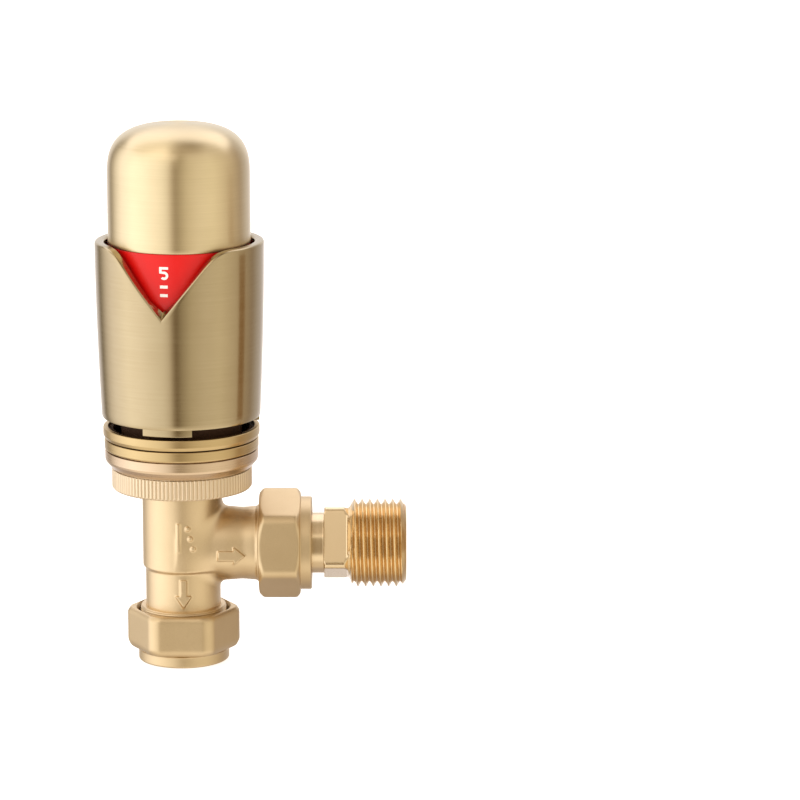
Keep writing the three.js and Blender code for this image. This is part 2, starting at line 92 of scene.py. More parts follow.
# sleeve
VEE_ANGLE = -99.6  # direction of the sleeve's notch, degrees from +X
VEE_HALF = 53.0  # degrees from its point to the level rim
VEE_DEPTH = 15.5
VEE_STEEPNESS = 1.4
VEE_FLARE = 0.12  # how softly the notch runs out into the rim
FOOT_WIDTH = 36.7  # degrees
FOOT_OFFSET = 2.0  # degrees from the notch to the middle of the front foot
SLEEVE_EDGE_Z = 59.1  # lower edge of the sleeve between its feet

RING_BORE = 17.25  # of both limit rings


# ---------------------------------------------------------------- outlines
def unit(vector):
    """The vector at length 1."""
    return vector / np.linalg.norm(vector)


def rounded(corners, steps=5):
    """Closed outline through (radius, height, rounding) corners, each turned on an arc."""
    points = []
    for i, (r, z, rounding) in enumerate(corners):
        here = np.array((r, z))
        if rounding <= 0:
            points.append(here)
            continue
        to_last = np.array(corners[i - 1][:2]) - here
        to_next = np.array(corners[(i + 1) % len(corners)][:2]) - here
        u, v = unit(to_last), unit(to_next)
        half = math.acos(np.clip(u @ v, -1, 1)) / 2
        shorter = min(np.linalg.norm(to_last), np.linalg.norm(to_next))
        reach = min(rounding / math.tan(half), 0.48 * shorter)
        centre = here + unit(u + v) * reach / math.cos(half)
        arm = here + u * reach - centre
        end = here + v * reach - centre
        sweep = math.atan2(arm[0] * end[1] - arm[1] * end[0], arm @ end)
        for step in range(steps + 1):
            a = sweep * step / steps
            turn = np.array(((math.cos(a), -math.sin(a)), (math.sin(a), math.cos(a))))
            points.append(centre + turn @ arm)
    return np.array(points)


def subdivided(outline, longest):
    """The outline with its long straight stretches cut into steps no longer than that."""
    points = []
    for here, after in zip(outline, np.roll(outline, -1, axis=0)):
        count = max(1, math.ceil(np.linalg.norm(after - here) / longest))
        points.extend(here + (after - here) * k / count for k in range(count))
    return np.array(points)


# ---------------------------------------------------------------- meshes
def mesh_object(name, vertices, faces, material, sharp=40):
    """A linked object from millimetre vertices, welded, with its faces turned outwards."""
    mesh = bpy.data.meshes.new(name)
    mesh.from_pydata((np.asarray(vertices) * MM).tolist(), [], faces)
    bm = bmesh.new()
    bm.from_mesh(mesh)
    bmesh.ops.remove_doubles(bm, verts=bm.verts, dist=2e-6)
    bmesh.ops.dissolve_degenerate(bm, edges=bm.edges, dist=1e-6)
    bmesh.ops.recalc_face_normals(bm, faces=bm.faces)
    bm.to_mesh(mesh)
    bm.free()
    mesh.shade_smooth()
    mesh.set_sharp_from_angle(angle=math.radians(sharp))
    mesh.materials.append(material)
    obj = bpy.data.objects.new(name, mesh)
    bpy.context.scene.collection.objects.link(obj)
    return obj


def grid_faces(columns, rows, wrap_columns=True):
    """Quads of a grid whose vertices run column by column, each column being closed."""
    faces = []
    for i in range(columns if wrap_columns else columns - 1):
        left, right = i * rows, (i + 1) % columns * rows
        for j in range(rows):
            k = (j + 1) % rows
            faces.append((left + j, right + j, right + k, left + k))
    return faces


def along_x(points):
    """Moves points made about Z onto the branch axis, height becoming X."""
    x, y, z = np.moveaxis(points, -1, 0)
    return np.stack((z, y, BRANCH_Z - x), axis=-1)


def around(angles, radii, heights):
    """Points at angle, radius and height about Z, broadcast together."""
    angles, radii, heights = np.broadcast_arrays(angles, radii, heights)
    return np.stack((radii * np.cos(angles), radii * np.sin(angles), heights), axis=-1)


def revolve(name, outline, material, segments=192, reshape=None, place=None):
    """A ring or disc from a closed outline.

    reshape(angles, radii, heights) gives new radii, and place(points) moves the result.
    """
    angles = np.arange(segments)[:, None] * TAU / segments
    radii, heights = outline[None, :, 0], outline[None, :, 1]
    if reshape is not None:
        radii = reshape(angles, radii, heights)
    points = around(angles, radii, heights)
    if place is not None:
        points = place(points)
    faces = grid_faces(segments, len(outline))
    return mesh_object(name, points.reshape(-1, 3), faces, material)


def combine(name, objects):
    """Joins objects of one material into the first."""
    bm = bmesh.new()
    for obj in objects:
        bm.from_mesh(obj.data)
    first = objects[0]
    bm.to_mesh(first.data)
    bm.free()
    first.name = name
    for obj in objects[1:]:
        bpy.data.objects.remove(obj)
    return first


# ---------------------------------------------------------------- formulas
def smooth_min(a, b, k):
    """The lower of two fields, with the corner between them rounded over k."""
    h = np.maximum(k - np.abs(a - b), 0) / k
    return np.minimum(a, b) - h * h * k / 4


def smooth_max(a, b, k):
    """The higher of two fields, rounded in the same way."""
    return -smooth_min(-a, -b, k)


def smoothstep(low, high, value):
    """From 0 at low to 1 at high, level at both ends."""
    t = np.clip((value - low) / (high - low), 0, 1)
    return t * t * (3 - 2 * t)


def polygon_radius(angles, sides, apothem, rounding, phase=0.0):
    """Radius of a regular polygon with rounded corners; a flat faces the phase angle."""
    step = TAU / sides
    turn = np.abs((angles - phase + step / 2) % step - step / 2)
    centre = (apothem - rounding) / math.cos(step / 2)
    flat_end = np.arctan2(centre * math.sin(step / 2), apothem)
    off = step / 2 - turn
    under = np.maximum(rounding**2 - (centre * np.sin(off)) ** 2, 0)
    return np.where(turn < flat_end, apothem / np.cos(turn), centre * np.cos(off) + np.sqrt(under))


# ---------------------------------------------------------------- materials
def linear(red, green, blue):
    """Opaque scene-linear colour from display values of 0 to 255."""
    shades = (red / 255, green / 255, blue / 255)
    levels = (s / 12.92 if s <= 0.04045 else ((s + 0.055) / 1.055) ** 2.4 for s in shades)
    return (*levels, 1)


def add_node(tree, kind, **inputs):
    """A node with values on its inputs, whose names have _ for a space."""
    made = tree.nodes.new(kind)
    for name, value in inputs.items():
        made.inputs[name.replace("_", " ")].default_value = value
    return made


def calculate(tree, operation, first, second):
    """The result of a Math node on two numbers or outputs."""
    made = tree.nodes.new("ShaderNodeMath")
    made.operation = operation
    for socket, value in zip(made.inputs, (first, second)):
        if isinstance(value, (int, float)):
            socket.default_value = value
        else:
            tree.links.new(value, socket)
    return made.outputs[0]


def mixed(tree, factor, first, second):
    """A colour that goes from the first to the second, each a colour or an output."""
    mix = tree.nodes.new("ShaderNodeMix")
    mix.data_type = "RGBA"
    tree.links.new(factor, mix.inputs["Factor"])
    for socket, colour in zip((mix.inputs["A"], mix.inputs["B"]), (first, second)):
        if isinstance(colour, tuple):
            socket.default_value = colour
        else:
            tree.links.new(colour, socket)
    return mix.outputs["Result"]


def noise_from(tree, frequencies, detail=2.0):
    """Noise over the piece's own coordinates, with frequencies in cycles per metre."""
    place = add_node(tree, "ShaderNodeTexCoord")
    stretch = add_node(tree, "ShaderNodeMapping", Scale=frequencies)
    noise = add_node(tree, "ShaderNodeTexNoise", Scale=1.0, Detail=detail, Roughness=0.6)
    tree.links.new(place.outputs["Object"], stretch.inputs["Vector"])
    tree.links.new(stretch.outputs["Vector"], noise.inputs["Vector"])
    return noise.outputs["Fac"]


def ranged(tree, source, low, high):
    """Maps the middle of a noise, where nearly all of it lies, to low up to high."""
    noise_low, noise_high = 0.3, 0.7
    spread = add_node(
        tree, "ShaderNodeMapRange",
        From_Min=noise_low, From_Max=noise_high, To_Min=low, To_Max=high,
    )
    tree.links.new(source, spread.inputs["Value"])
    return spread.outputs["Result"]


ROUND_Z = (40, 40, 3600)  # grain that runs round the valve axis
ROUND_X = (3600, 40, 40)  # grain that runs round the branch axis
BLASTED = (5200, 5200, 5200)
CLOUDS = (90, 90, 90)


def surface(name, dark, light, roughness, grain, bump, metallic=1.0, brushed=0.0, gloss=0.5):
    """A procedural finish.

    dark and light are the display colours that broad clouding moves between, roughness its
    lowest and highest value, grain the noise frequencies along X, Y and Z, bump the height
    of the grain in millimetres, and gloss the specular level. brushed is how far the gloss
    spreads across brush lines that run round the valve axis.
    """
    made = bpy.data.materials.new(name)
    made.use_nodes = True
    tree = made.node_tree
    shader = tree.nodes["Principled BSDF"]
    shader.inputs["Metallic"].default_value = metallic
    shader.inputs["Specular IOR Level"].default_value = gloss
    if brushed:
        shader.inputs["Anisotropic"].default_value = brushed
        shader.inputs["Anisotropic Rotation"].default_value = 0.25  # a quarter turn
        lines = tree.nodes.new("ShaderNodeTangent")
        lines.direction_type = "RADIAL"
        lines.axis = "Z"
        tree.links.new(lines.outputs["Tangent"], shader.inputs["Tangent"])
    fine = noise_from(tree, grain)
    broad = noise_from(tree, CLOUDS, 3.0)
    both = calculate(tree, "MULTIPLY", calculate(tree, "ADD", fine, broad), 0.5)
    colour = mixed(tree, ranged(tree, both, 0, 1), linear(*dark), linear(*light))
    tree.links.new(colour, shader.inputs["Base Color"])
    tree.links.new(ranged(tree, fine, *roughness), shader.inputs["Roughness"])
    relief = add_node(tree, "ShaderNodeBump", Strength=1.0, Distance=bump * MM)
    tree.links.new(fine, relief.inputs["Height"])
    tree.links.new(relief.outputs["Normal"], shader.inputs["Normal"])
    return made


DOME_GOLD = surface(
    "dome_gold", (219, 202, 165), (229, 212, 176), (0.29, 0.32), ROUND_Z, 0.0002, brushed=0.75
)
SLEEVE_GOLD = surface(
    "sleeve_gold", (181, 164, 131), (189, 173, 141), (0.17, 0.23), ROUND_Z, 0.0008, brushed=0.7
)
RING_GOLD = surface(
    "ring_gold", (199, 174, 128), (210, 186, 140), (0.27, 0.33), ROUND_Z, 0.001
)
MATTE_BRASS = surface(
    "matte_brass", (221, 198, 161), (233, 211, 175), (0.36, 0.44), BLASTED, 0.012
)
PALE_BRASS = surface(
    "pale_brass", (226, 207, 178), (238, 219, 192), (0.42, 0.52), BLASTED, 0.008
)
NUT_BRASS = surface(
    "nut_brass", (212, 189, 151), (224, 202, 165), (0.38, 0.45), BLASTED, 0.006
)
THREAD_BRASS = surface(
    "thread_brass", (225, 197, 152), (232, 206, 162), (0.2, 0.26), ROUND_X, 0.001
)
SHANK_BRASS = surface(
    "shank_brass", (226, 204, 168), (232, 211, 176), (0.22, 0.26), ROUND_X, 0.0006
)
CONE_BRASS = surface(
    "cone_brass", (213, 189, 160), (223, 200, 172), (0.26, 0.32), ROUND_Z, 0.001
)
RAW_BRASS = surface(
    "raw_brass", (196, 156, 88), (214, 176, 106), (0.28, 0.4), ROUND_Z, 0.003
)
STEEL = surface(
    "drawn_steel", (188, 188, 190), (208, 208, 208), (0.22, 0.34), ROUND_Z, 0.003
)
RED_PLASTIC = surface(
    "red_plastic", (217, 12, 10), (225, 15, 13), (0.28, 0.34), BLASTED, 0.002,
    metallic=0.0, gloss=0.4,
)
WHITE_PRINT = surface(
    "white_print", (240, 238, 234), (250, 248, 246), (0.5, 0.6), BLASTED, 0.001, metallic=0.0
)
# the cage's and liner's plastic, and also the painted shade of the dark block in the groove under
# the limit rings
BLACK_PLASTIC_AND_SHADE = surface(
    "black_plastic", (62, 38, 22), (76, 49, 31), (0.6, 0.72), BLASTED, 0.01,
    metallic=0.0, gloss=0.2,
)
PALE_PLASTIC = surface(
    "pale_plastic", (208, 202, 186), (218, 212, 198), (0.4, 0.5), BLASTED, 0.006, metallic=0.0
)
RUBBER = surface(
    "black_rubber", (24, 23, 22), (36, 34, 33), (0.7, 0.85), BLASTED, 0.015, metallic=0.0
)


# ---------------------------------------------------------------- dome and skirt
def make_dome():
    """Satin cap: a straight skirt that runs into a full rounded crown."""
    bottom, top = CAP_LOW[2], CAP_HIGH[2]
    radius = (CAP_HIGH[0] - CAP_LOW[0]) / 2
    spring_z = top - 12.6  # where the straight wall ends
    wall = 1.5
    power = 3.0  # of the superellipse that rounds the top

    def crown(radius, height):
        t = np.linspace(0, math.pi / 2, 40)
        r = radius * np.cos(t) ** (2 / power)
        z = spring_z + height * np.sin(t) ** (2 / power)
        return np.stack((r, z), axis=-1)

    outer = crown(radius, top - spring_z)
    inner = crown(radius - wall, top - spring_z - wall)[::-1]
    edge = [
        (radius - wall, bottom), (radius - 0.35, bottom),
        (radius - 0.1, bottom + 0.1), (radius, bottom + 0.35),
    ]
    rise = [(radius, z) for z in np.linspace(bottom + 1, spring_z - 0.5, 12)]
    return revolve("dome", np.concatenate((edge, rise, outer, inner)), DOME_GOLD, 256)


def make_skirt():
    """Red indicator skirt under the dome, with the spigot that holds it."""
    bottom, top = SKIRT_LOW[2], SKIRT_HIGH[2]
    radius = (SKIRT_HIGH[0] - SKIRT_LOW[0]) / 2
    wall = 1.0
    shelf = CAP_LOW[2] - 0.03
    under_shelf = shelf - 1.8
    spigot, spigot_bore = 14.8, 13.9
    outline = rounded([
        (radius - wall, bottom, 0.2), (radius, bottom, 0.3), (radius, shelf, 0.15),
        (spigot, shelf, 0), (spigot, top, 0.2), (spigot_bore, top, 0.2),
        (spigot_bore, under_shelf, 0), (radius - wall, under_shelf, 0),
    ])
    return revolve("indicator_skirt_red", outline, RED_PLASTIC)


def wrapped_plate(name, shape, angle, low_z, radius, thickness, material):
    """A thin plate of a flat outline of (across, up) points, bent round the valve axis."""
    outline = np.array(shape)
    turn = math.radians(angle) + outline[:, 0] / radius
    height = low_z + outline[:, 1]
    back = around(turn, radius, height)
    front = around(turn, radius + thickness, height)
    count = len(outline)
    faces = [tuple(range(count)), tuple(range(2 * count - 1, count - 1, -1))]
    faces += [(i, i + count, (i + 1) % count + count, (i + 1) % count) for i in range(count)]
    return mesh_object(name, np.concatenate((back, front)), faces, material, 30)


def make_dial_mark():
    """White setting mark: the figure 5 over two index bars."""
    radius = (SKIRT_HIGH[0] - SKIRT_LOW[0]) / 2 + 0.02
    thickness = 0.04
    weight = 0.58  # of the figure's strokes
    high, wide = 3.0, 2.1
    figure_z, bar_heights = 94.2, (92.2, 90.2)
    figure = [
        (-wide / 2, high), (wide / 2, high), (wide / 2, high - weight),
        (-wide / 2 + weight, high - weight), (-wide / 2 + weight, high * 0.64),
    ]
    bowl = (0.08, high * 0.33)
    reach = high * 0.33
    sweep = np.radians(np.linspace(100, -140, 15))
    figure += [(bowl[0] + reach * math.cos(a), bowl[1] + reach * math.sin(a)) for a in sweep]
    inner = reach - weight
    figure += [
        (bowl[0] + inner * math.cos(a), bowl[1] + inner * math.sin(a)) for a in sweep[::-1]
    ]
    figure += [(-wide / 2, high * 0.5)]
    bar = [(-0.9, 0), (0.9, 0), (0.9, 0.7), (-0.9, 0.7)]
    marks = [(figure, figure_z)] + [(bar, low) for low in bar_heights]
    plates = [
        wrapped_plate(f"mark_{i}", shape, VEE_ANGLE, low, radius, thickness, WHITE_PRINT)
        for i, (shape, low) in enumerate(marks)
    ]
    return combine("dial_mark", plates)


# ---------------------------------------------------------------- sleeve and rings
def sleeve_wall(z, rim_radius, narrowing, power):
    """Radius of one side of the sleeve's wall, which draws in towards its lower edge."""
    t = np.clip((SLEEVE_HIGH[2] - z) / (SLEEVE_HIGH[2] - SLEEVE_EDGE_Z), 0, 1)
    return rim_radius - narrowing * t**power


def sleeve_outer(z):
    """Radius of the sleeve's outside."""
    return sleeve_wall(z, 19.8, 1.15, 1.7)


def sleeve_inner(z):
    """Radius of the sleeve's inside."""
    return sleeve_wall(z, 17.5, 1.0, 1.5)


def make_sleeve():
    """Brushed sleeve with a pointed window notch and three feet over the vent."""
    rim = SLEEVE_HIGH[2]
    crowding = 1.25  # above 1, the columns stand closest at the notch's point
    near = np.linspace(-1, 1, 141)
    near = np.sign(near) * np.abs(near) ** crowding * VEE_HALF
    far = np.linspace(VEE_HALF, 360 - VEE_HALF, 150)[1:-1]
    degrees = np.concatenate((near, far))
    away = np.abs((degrees + 180) % 360 - 180)
    closeness = np.maximum(0, 1 - away / VEE_HALF)
    fall = (1 - VEE_STEEPNESS * (1 - closeness)) / VEE_FLARE
    top = rim - VEE_DEPTH * VEE_FLARE * np.log1p(np.exp(fall))
    point_lean, point_half = 1.4, 10  # the inside of the point stands higher, over degrees
    lean = point_lean * np.maximum(0, 1 - away / point_half)
    angles = np.radians(degrees + VEE_ANGLE)[:, None]
    bottom = SLEEVE_EDGE_Z
    edge = 0.6  # rounding of the upper edge
    outer_start, inner_start = bottom + 0.5, bottom + 0.3  # above the lower edge's rounding
    arc = np.radians(np.linspace(0, 90, 7))
    rows = []
    for t in np.linspace(0, 1, 30):
        z = outer_start + (top - edge - outer_start) * t
        rows.append((sleeve_outer(z), z))
    for a in arc[1:]:
        z = top - edge + edge * np.sin(a)
        rows.append((sleeve_outer(z) - edge + edge * np.cos(a), z))
    for a in arc[::-1]:
        z = top + lean - edge + edge * np.sin(a)
        rows.append((sleeve_inner(z) + edge - edge * np.cos(a), z))
    for t in np.linspace(1, 0, 16)[1:]:
        z = inner_start + (top + lean - edge - inner_start) * t
        rows.append((sleeve_inner(z), z))
    flat = np.zeros_like(top)
    rows.append((flat + sleeve_inner(bottom) + 0.2, flat + bottom))
    rows.append((flat + sleeve_outer(bottom) - 0.45, flat + bottom))
    rows.append((flat + sleeve_outer(bottom) - 0.13, flat + bottom + 0.13))
    radii = np.stack([r for r, _ in rows], axis=1)
    heights = np.stack([z for _, z in rows], axis=1)
    points = around(angles, radii, heights)
    faces = grid_faces(len(degrees), len(rows))
    shell = mesh_object("sleeve_shell", points.reshape(-1, 3), faces, SLEEVE_GOLD, 35)
    feet = [make_sleeve_foot(turn) for turn in (0, 120, 240)]
    return combine("sleeve_gold_shell", [shell, *feet])


def make_sleeve_foot(turn):
    """One of the sleeve's feet: a short curved block, set back a little."""
    half = math.radians(FOOT_WIDTH / 2)
    middle = math.radians(VEE_ANGLE + FOOT_OFFSET + turn)
    angles = np.linspace(middle - half, middle + half, 25)
    outer = sleeve_outer(SLEEVE_EDGE_Z) - 0.28
    inner = outer - 1.7
    low, high = SLEEVE_LOW[2], SLEEVE_EDGE_Z + 0.3
    outline = rounded([(inner, low, 0), (outer, low, 0.25), (outer, high, 0), (inner, high, 0)])
    points = around(angles[:, None], outline[None, :, 0], outline[None, :, 1])
    rows = len(outline)
    faces = grid_faces(len(angles), rows, wrap_columns=False)
    faces += [tuple(range(rows)), tuple(range((len(angles) - 1) * rows, len(angles) * rows))]
    return mesh_object(f"foot_{turn}", points.reshape(-1, 3), faces, SLEEVE_GOLD, 35)


def make_limit_ring(name, low, high, bevel):
    """Polished ring with a bevel round its lower edge."""
    outer = (high[0] - low[0]) / 2
    outline = rounded([
        (RING_BORE, low[2], 0), (outer - 0.4 * bevel, low[2], 0.08),
        (outer, low[2] + bevel, 0.2), (outer, high[2], 0.28), (RING_BORE, high[2], 0.1),
    ])
    return revolve(name, outline, RING_GOLD, 224)


def make_head_base():
    """Pale cone under the limit rings, with the spigot that carries them."""
    outer = (BASE_HIGH[0] - BASE_LOW[0]) / 2
    low = BASE_LOW[2]
    bore, recess, skirt = 9, 14.7, 16.2
    spigot, spigot_bore, spigot_top = 17, 16.3, UPPER_LOW[2]
    outline = rounded([
        (bore, low + 0.9, 0), (recess, low + 0.9, 0), (recess, low + 3.6, 0),
        (skirt, low + 3.6, 0), (skirt, low, 0), (16.55, low, 0.15), (17.85, low + 1.55, 0.35),
        (outer, low + 2.1, 0.2), (outer, low + 4.15, 0.2), (spigot, low + 4.2, 0),
        (spigot, spigot_top, 0.2), (spigot_bore, spigot_top, 0.2), (spigot_bore, low + 5.5, 0),
        (bore, low + 5.5, 0),
    ])
    return revolve("head_base_cone", outline, CONE_BRASS, 224)


def make_painted_shade_in_groove():
    """Painted shade: a dark block filling the groove between the cage and the limit rings from its
    floor up, where the real groove is only in shadow.
    """
    inner = (CAGE_HIGH[0] - CAGE_LOW[0]) / 2 + 0.05
    outer = RING_BORE - 0.05
    floor, top = BASE_LOW[2] + 5.6, UPPER_HIGH[2] - 0.5
    outline = np.array(((inner, floor), (outer, floor), (outer, top), (inner, top)))
    return revolve("head_base_painted_shade", outline, BLACK_PLASTIC_AND_SHADE, 96)


def make_ring_nut():
    """Ring nut with fine straight ribs."""
    ribs = 105
    samples = 10  # round each rib
    groove = 0.2
    outer = (RING_HIGH[0] - RING_LOW[0]) / 2
    bore, lip = 15.1, 15.9
    low = RING_LOW[2]
    top = BASE_LOW[2] - 0.3

    def knurl(angles, radii, heights):
        wave = np.abs((angles * ribs / TAU + 0.5) % 1 - 0.5) * 2
        ribbed = outer - groove * smoothstep(0.45, 0.95, wave)
        return np.where(radii > lip + 0.1, np.minimum(radii, ribbed), radii)

    outline = rounded([
        (bore, low, 0.1), (outer - 0.35, low, 0.1), (outer, low + 0.4, 0.2), (outer, top, 0.25),
        (lip, top, 0), (lip, RING_HIGH[2], 0.1), (bore, RING_HIGH[2], 0.1),
    ])
    return revolve("knurled_ring_nut", outline, PALE_BRASS, ribs * samples, knurl)


# ---------------------------------------------------------------- nuts
def make_inlet_nut():
    """Compression nut: hexagon over a round collar."""
    low, high = NUT_LOW[2], NUT_HIGH[2]
    apothem = (NUT_HIGH[1] - NUT_LOW[1]) / 2
    bore, collar, corner = 7.7, 10.75, 13.5
    flats_low = low + 2.9
    top_reach, top_inset = 1.5, 1.0  # rounding over the top of the flats
    low_reach, low_inset = 2.2, 1.2  # and under their lower end
    outline = rounded([
        (bore, low, 0.3), (collar, low, 0.5), (collar, low + 2.7, 0.4), (12.6, low + 3.2, 0.4),
        (corner, low + 4.6, 1.2), (corner, high - 1.1, 0.9), (12.5, high, 0.2),
        (11.2, high, 0.15), (10.8, high - 0.7, 0.1), (10.5, low + 5, 0), (9.2, low + 4.4, 0),
        (bore, low + 2.4, 0),
    ], 6)
    outline = subdivided(outline, 0.5)

    def hexagon(angles, radii, heights):
        above = np.clip(1 - (high - heights) / top_reach, 0, 1)
        below = np.clip(1 - (heights - flats_low) / low_reach, 0, 1)
        inset = top_inset * (1 - np.sqrt(1 - above**2))
        inset += low_inset * (1 - np.sqrt(1 - below**2))
        faces = polygon_radius(angles, 6, apothem, 3.6, -math.pi / 2) - inset
        return np.where(radii > collar + 0.2, smooth_min(radii, faces, 0.4), radii)

    return revolve("inlet_nut", outline, NUT_BRASS, 360, hexagon)


def make_union_nut():
    """Union nut on the branch: hexagon, then a round collar towards the tail."""
    low, high = UNION_LOW[0], UNION_HIGH[0]
    hex_end = high - 2.7
    bore, room, collar, corner, apothem = 7.7, 10.4, 11.0, 13.3, 11.7
    outline = rounded([
        (10.9, low, 0.2), (11.9, low, 0.6), (corner, low + 1.15, 0.9),
        (corner, hex_end - 0.9, 0.9), (12.0, hex_end, 0.5), (collar, hex_end + 0.15, 0.2),
        (collar, high, 0.35), (bore, high, 0.2), (bore, high - 2.3, 0), (room, high - 2.3, 0),
        (room, low + 0.6, 0),
    ], 6)
    outline = subdivided(outline, 0.5)
    tilt = math.radians(8.8)  # how far the photograph shows the nut turned

    def hexagon(angles, radii, heights):
        faces = polygon_radius(angles, 6, apothem, 2.4, -math.pi / 2 - tilt)
        return np.where(radii > collar + 0.05, smooth_min(radii, faces, 0.8), radii)

    return revolve("union_hexagon_nut", outline, NUT_BRASS, 360, hexagon, along_x)


# ---------------------------------------------------------------- tailpiece
SQUARE_START = 33.6
SQUARE_END = 38.3
THREAD_START = 39.8
THREAD_ROOT = 9.25
TAIL_BORE = 6.0


def make_tail_shank():
    """Front of the tailpiece: seal flange, neck and spanner square."""
    low = TAIL_LOW[0]
    flange, flange_end, neck, corner, apothem = 10.1, low + 1, 7.2, 9.85, 7.35
    outline = subdivided(rounded([
        (TAIL_BORE, low, 0), (flange, low, 0), (flange, flange_end, 0), (neck, flange_end, 0),
        (neck, SQUARE_START - 0.05, 0.2), (9.5, SQUARE_START, 0.1),
        (corner, SQUARE_START + 0.3, 0.3), (corner, SQUARE_END, 0.2),
        (8.7, SQUARE_END + 1.2, 0.2), (THREAD_ROOT, THREAD_START, 0),
        (TAIL_BORE, THREAD_START, 0),
    ]), 0.3)
    lean = math.radians(24.5)  # how far the photograph shows the square turned

    def square(angles, radii, heights):
        flats = polygon_radius(angles, 4, apothem, 1.0, -math.pi / 2 - lean)
        run_out = 2.2 * np.maximum(0, heights - SQUARE_END - 0.75)
        on_square = (heights > SQUARE_START - 0.01) & (radii > neck + 0.1)
        return np.where(on_square, smooth_min(radii, flats + run_out, 0.3), radii)

    return revolve("tail_shank", outline, SHANK_BRASS, 360, square, along_x)


def make_tail_thread():
    """End of the tailpiece: a helical G1/2 thread round the bore."""
    columns = 180
    pitch = 1.814
    crest = 10.45
    steps = 16  # along each turn
    high = TAIL_HIGH[0]
    thread_end = high - 0.5
    end_root = THREAD_ROOT + 0.15
    angles = np.arange(columns + 1)[:, None] * TAU / columns

    turns = np.arange(-1, (thread_end - THREAD_START) / pitch + 1, 1 / steps)[None, :]
    along = turns + angles / TAU
    thread_z = np.clip(THREAD_START + pitch * along, THREAD_START, thread_end)
    phase = np.abs(((thread_z - THREAD_START) / pitch - angles / TAU) % 1 * 2 - 1)
    ridge = THREAD_ROOT + (crest - THREAD_ROOT) * np.clip((phase - 0.12) / 0.78, 0, 1)
    run_in = THREAD_ROOT + (thread_z - THREAD_START) * 2.2
    run_off = end_root + (thread_end - thread_z) * 1.1
    thread_r = np.minimum(ridge, np.minimum(run_in, run_off))

    end = rounded([
        (end_root, thread_end, 0), (THREAD_ROOT - 0.55, high, 0.2), (TAIL_BORE, high, 0.3),
        (TAIL_BORE, THREAD_START, 0), (THREAD_ROOT, THREAD_START, 0),
    ])
    shape = (columns + 1, len(end))
    radii = np.concatenate((thread_r, np.broadcast_to(end[:, 0], shape)), axis=1)
    heights = np.concatenate((thread_z, np.broadcast_to(end[:, 1], shape)), axis=1)
    points = along_x(around(angles, radii, heights))
    faces = grid_faces(columns + 1, radii.shape[1], wrap_columns=False)
    return mesh_object("tail_thread", points.reshape(-1, 3), faces, THREAD_BRASS, 50)


# ---------------------------------------------------------------- body casting
def signed_polygon(u, v, corners):
    """Distance to a flat polygon's outline, negative inside."""
    nearest = np.full(u.shape, np.inf)
    sign = np.ones(u.shape)
    for (ax, ay), (bx, by) in zip(corners, np.roll(corners, -1, axis=0)):
        ex, ey = bx - ax, by - ay
        wx, wy = u - ax, v - ay
        t = np.clip((wx * ex + wy * ey) / (ex * ex + ey * ey), 0, 1)
        nearest = np.minimum(nearest, (wx - ex * t) ** 2 + (wy - ey * t) ** 2)
        over, under = v >= ay, v < by
        left = ex * wy > ey * wx
        crosses = (over & under & left) | (~over & ~under & ~left)
        sign = np.where(crosses, -sign, sign)
    return sign * np.sqrt(nearest)


def arrow(tail, neck, tip, shaft, barb):
    """Outline of an arrow along the first axis, with its shaft's and its barbs' half widths."""
    half = [(tail, shaft), (neck, shaft), (neck, barb), (tip, 0)]
    return half + [(along, -across) for along, across in half[-2::-1]]


SIDE_ARROW = arrow(8.6, 12.3, 15.0, 1.15, 2.2)
DOWN_ARROW = arrow(-21.0, -17.2, -14.2, 0.8, 1.95)
PIPS = ((1.7, 33.6), (2.3, 31.2), (2.9, 28.8))  # across and height
PIP_R = 0.55


def with_marks(field, x, y, z):
    """Adds the cast marks on the front: two flow arrows, a bar and three pips beside it."""
    front = y < -5

    def raised(level, flat, base_radius):
        """A flat outline that stands out from a wall of that radius."""
        return smooth_max(flat, -(y[front] + base_radius + level), 0.25)

    u, w = x[front], z[front]
    bar = np.maximum(np.abs(u + 0.5) - 0.42, np.abs(w - 31.4) - 3.4)
    marks = [
        raised(0.42, signed_polygon(u, w - BRANCH_Z + 1.1, SIDE_ARROW), BRANCH_R),
        raised(0.45, signed_polygon(-w, u - 0.5, DOWN_ARROW), NECK_R),
        raised(0.3, bar, WAIST_R),
    ]
    marks += [raised(0.28, np.hypot(u - pu, w - pw) - PIP_R, WAIST_R) for pu, pw in PIPS]
    fillet = 0.35  # between the marks and the wall
    field[front] = smooth_min(field[front], np.minimum.reduce(marks), fillet)
    return field


def body_field(x, y, z):
    """Signed field of the casting: upright and branch, blended, with its marks and bores."""
    edge, crotch = 0.3, 2.0  # roundings
    radius = np.hypot(x, y)
    across = np.hypot(y, z - BRANCH_Z)
    upright_r = NECK_R + (WAIST_R - NECK_R) * smoothstep(WAIST_Z - 0.8, WAIST_Z + 0.3, z)
    upright = smooth_max(radius - upright_r, np.abs(z - UPRIGHT_MIDDLE) - UPRIGHT_HALF, edge)
    lip = 0.3 * smoothstep(17.4, 17.9, x)
    hollow = 0.25 * np.exp(-(((x - 14.2) / 2.2) ** 2))
    branch_r = BRANCH_R + lip - hollow
    branch = smooth_max(across - branch_r, np.abs(x - BRANCH_HALF) - BRANCH_HALF, edge)
    field = smooth_min(upright, branch, crotch)
    field = with_marks(field, x, y, z)
    bores = np.minimum.reduce([
        np.maximum(radius - SOCKET_R, z - SOCKET_TOP),
        np.maximum(radius - PORT_R, z - SEAT_Z - 1),
        np.maximum(radius - INSERT_R, SEAT_Z - z),
        np.maximum(across - BORE_R, -x),
    ])
    return smooth_max(field, -bores, edge)


